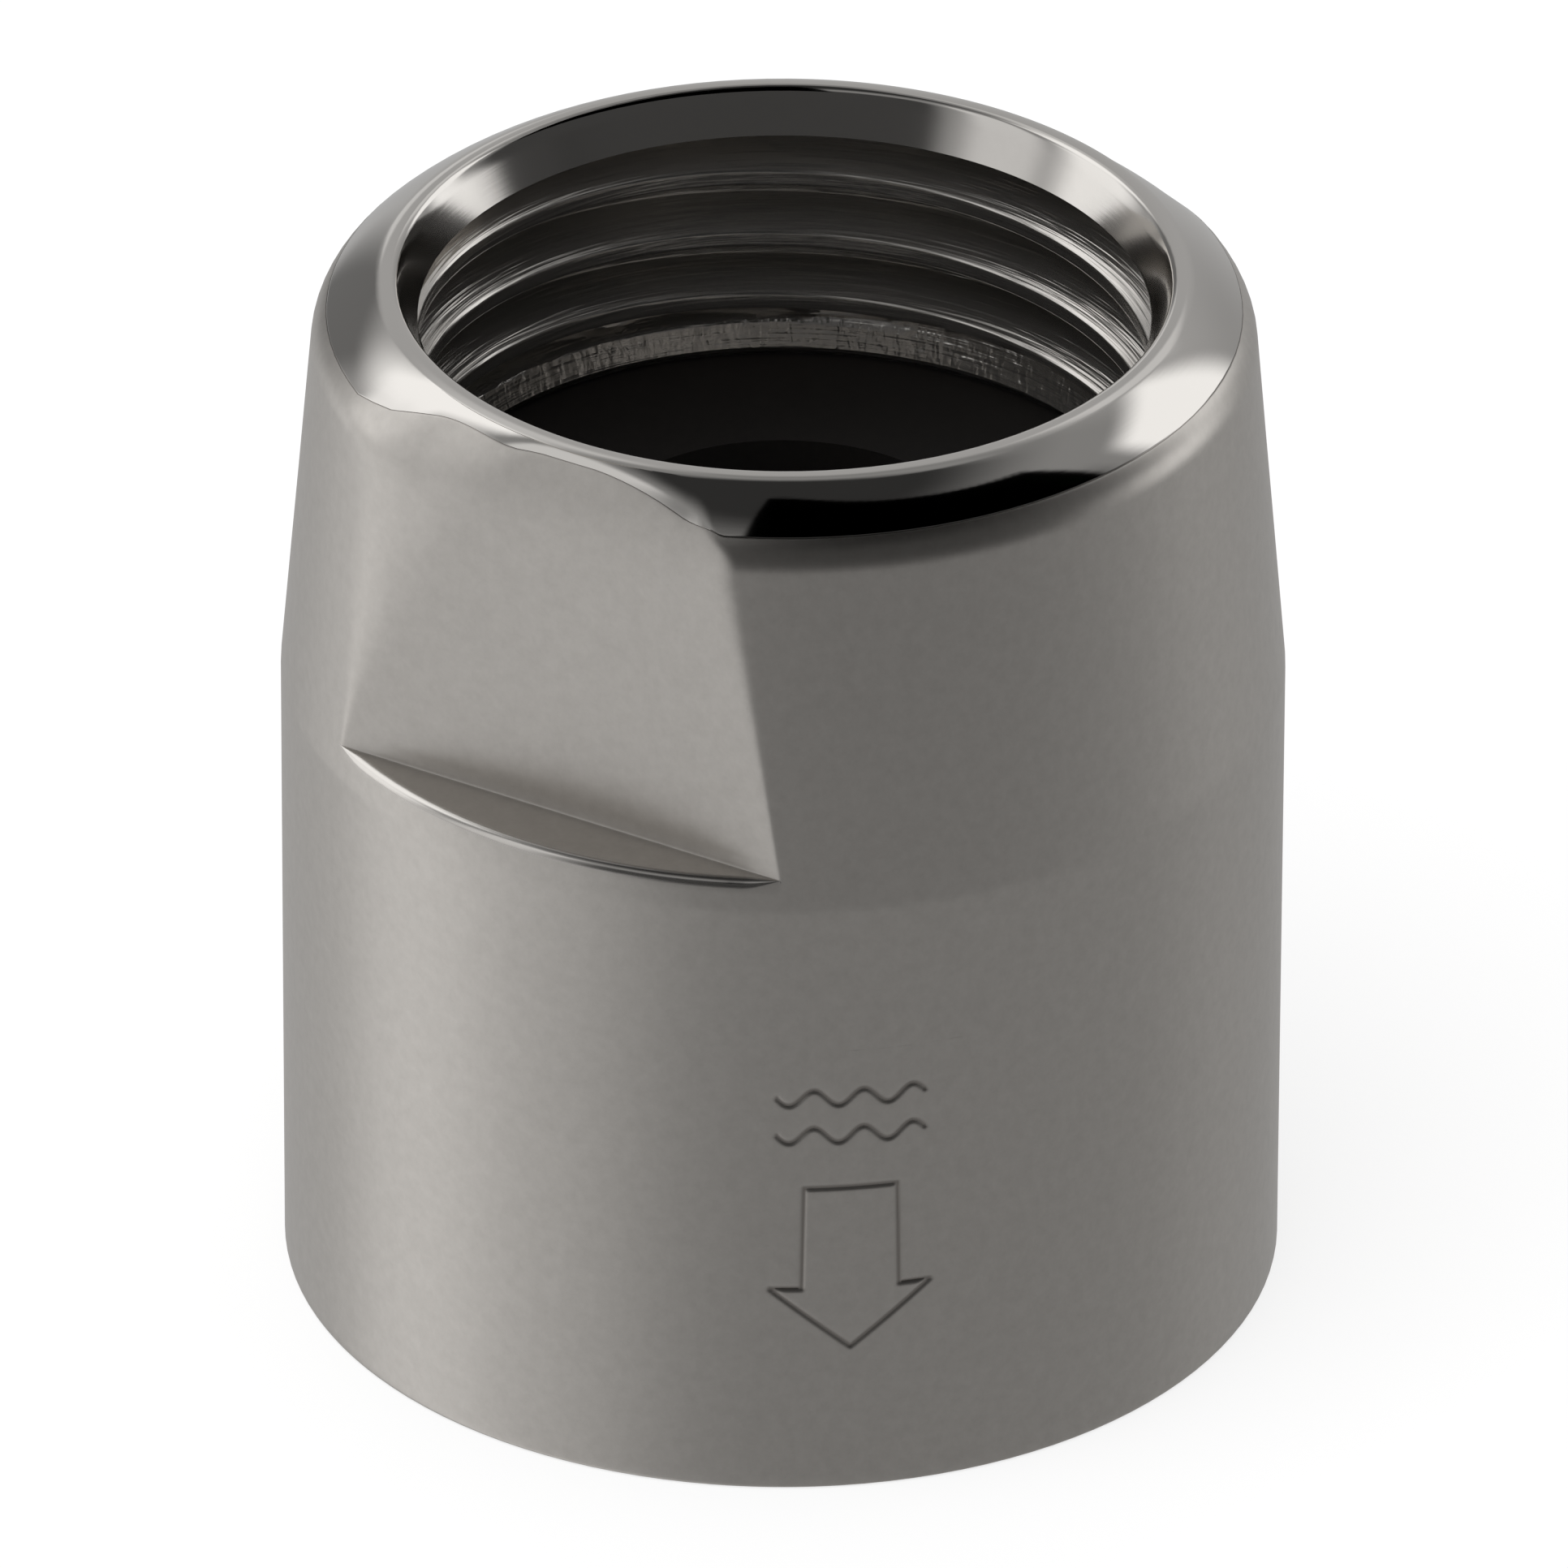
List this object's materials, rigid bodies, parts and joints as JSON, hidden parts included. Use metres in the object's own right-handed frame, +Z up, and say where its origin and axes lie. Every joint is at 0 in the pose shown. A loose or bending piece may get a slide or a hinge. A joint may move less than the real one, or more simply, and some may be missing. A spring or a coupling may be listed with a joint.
{
  "type": "vacuum breaker",
  "caption": "In-line shower-hose vacuum breaker: turned shell with wrench flats and polished rim, female G 1/2 inlet and outlet, spring check valve and vent ring inside.",
  "frame": {"origin": "centre of the shell's bottom face, on the bore axis", "axes": "+Z up along the bore towards the inlet, the wrench flats face -Y and +Y"},
  "size_m": [0.0256, 0.0256, 0.0283],
  "materials": {
    "shell": "satin brushed, polished rim",
    "washer_rubber": "matt black",
    "seal_rubber": "semi-matt black",
    "housing_plastic": "moulded off-white",
    "poppet_plastic": "moulded dark grey",
    "spring_steel": "drawn stainless wire",
    "brass": "turned brass"
  },
  "bodies": {
    "shell": {"body": "shell", "inlet_washer": "washer_rubber", "check_housing": "housing_plastic", "housing_o_ring": "seal_rubber", "spring_holder": "housing_plastic", "outlet_socket": "brass", "socket_o_ring": "seal_rubber", "outlet_washer": "washer_rubber", "check_spring": "spring_steel", "vent_spring": "spring_steel"},
    "check": {"poppet": "poppet_plastic", "poppet_seal": "seal_rubber"},
    "vent": {"vent_ring": "poppet_plastic", "vent_seal": "seal_rubber"}
  },
  "joints": [
    {"name": "check_slide", "type": "slide", "parent": "shell", "child": "check", "axis": [0, 0, -1], "range_m": [0, 0.00178], "stiffness_N_per_m": 120, "springref_m": -0.001, "deforming": ["check_spring"]},
    {"name": "vent_slide", "type": "slide", "parent": "shell", "child": "vent", "axis": [0, 0, -1], "range_m": [0, 0.00078], "stiffness_N_per_m": 60, "springref_m": -0.0005, "deforming": ["vent_spring"]}
  ]
}
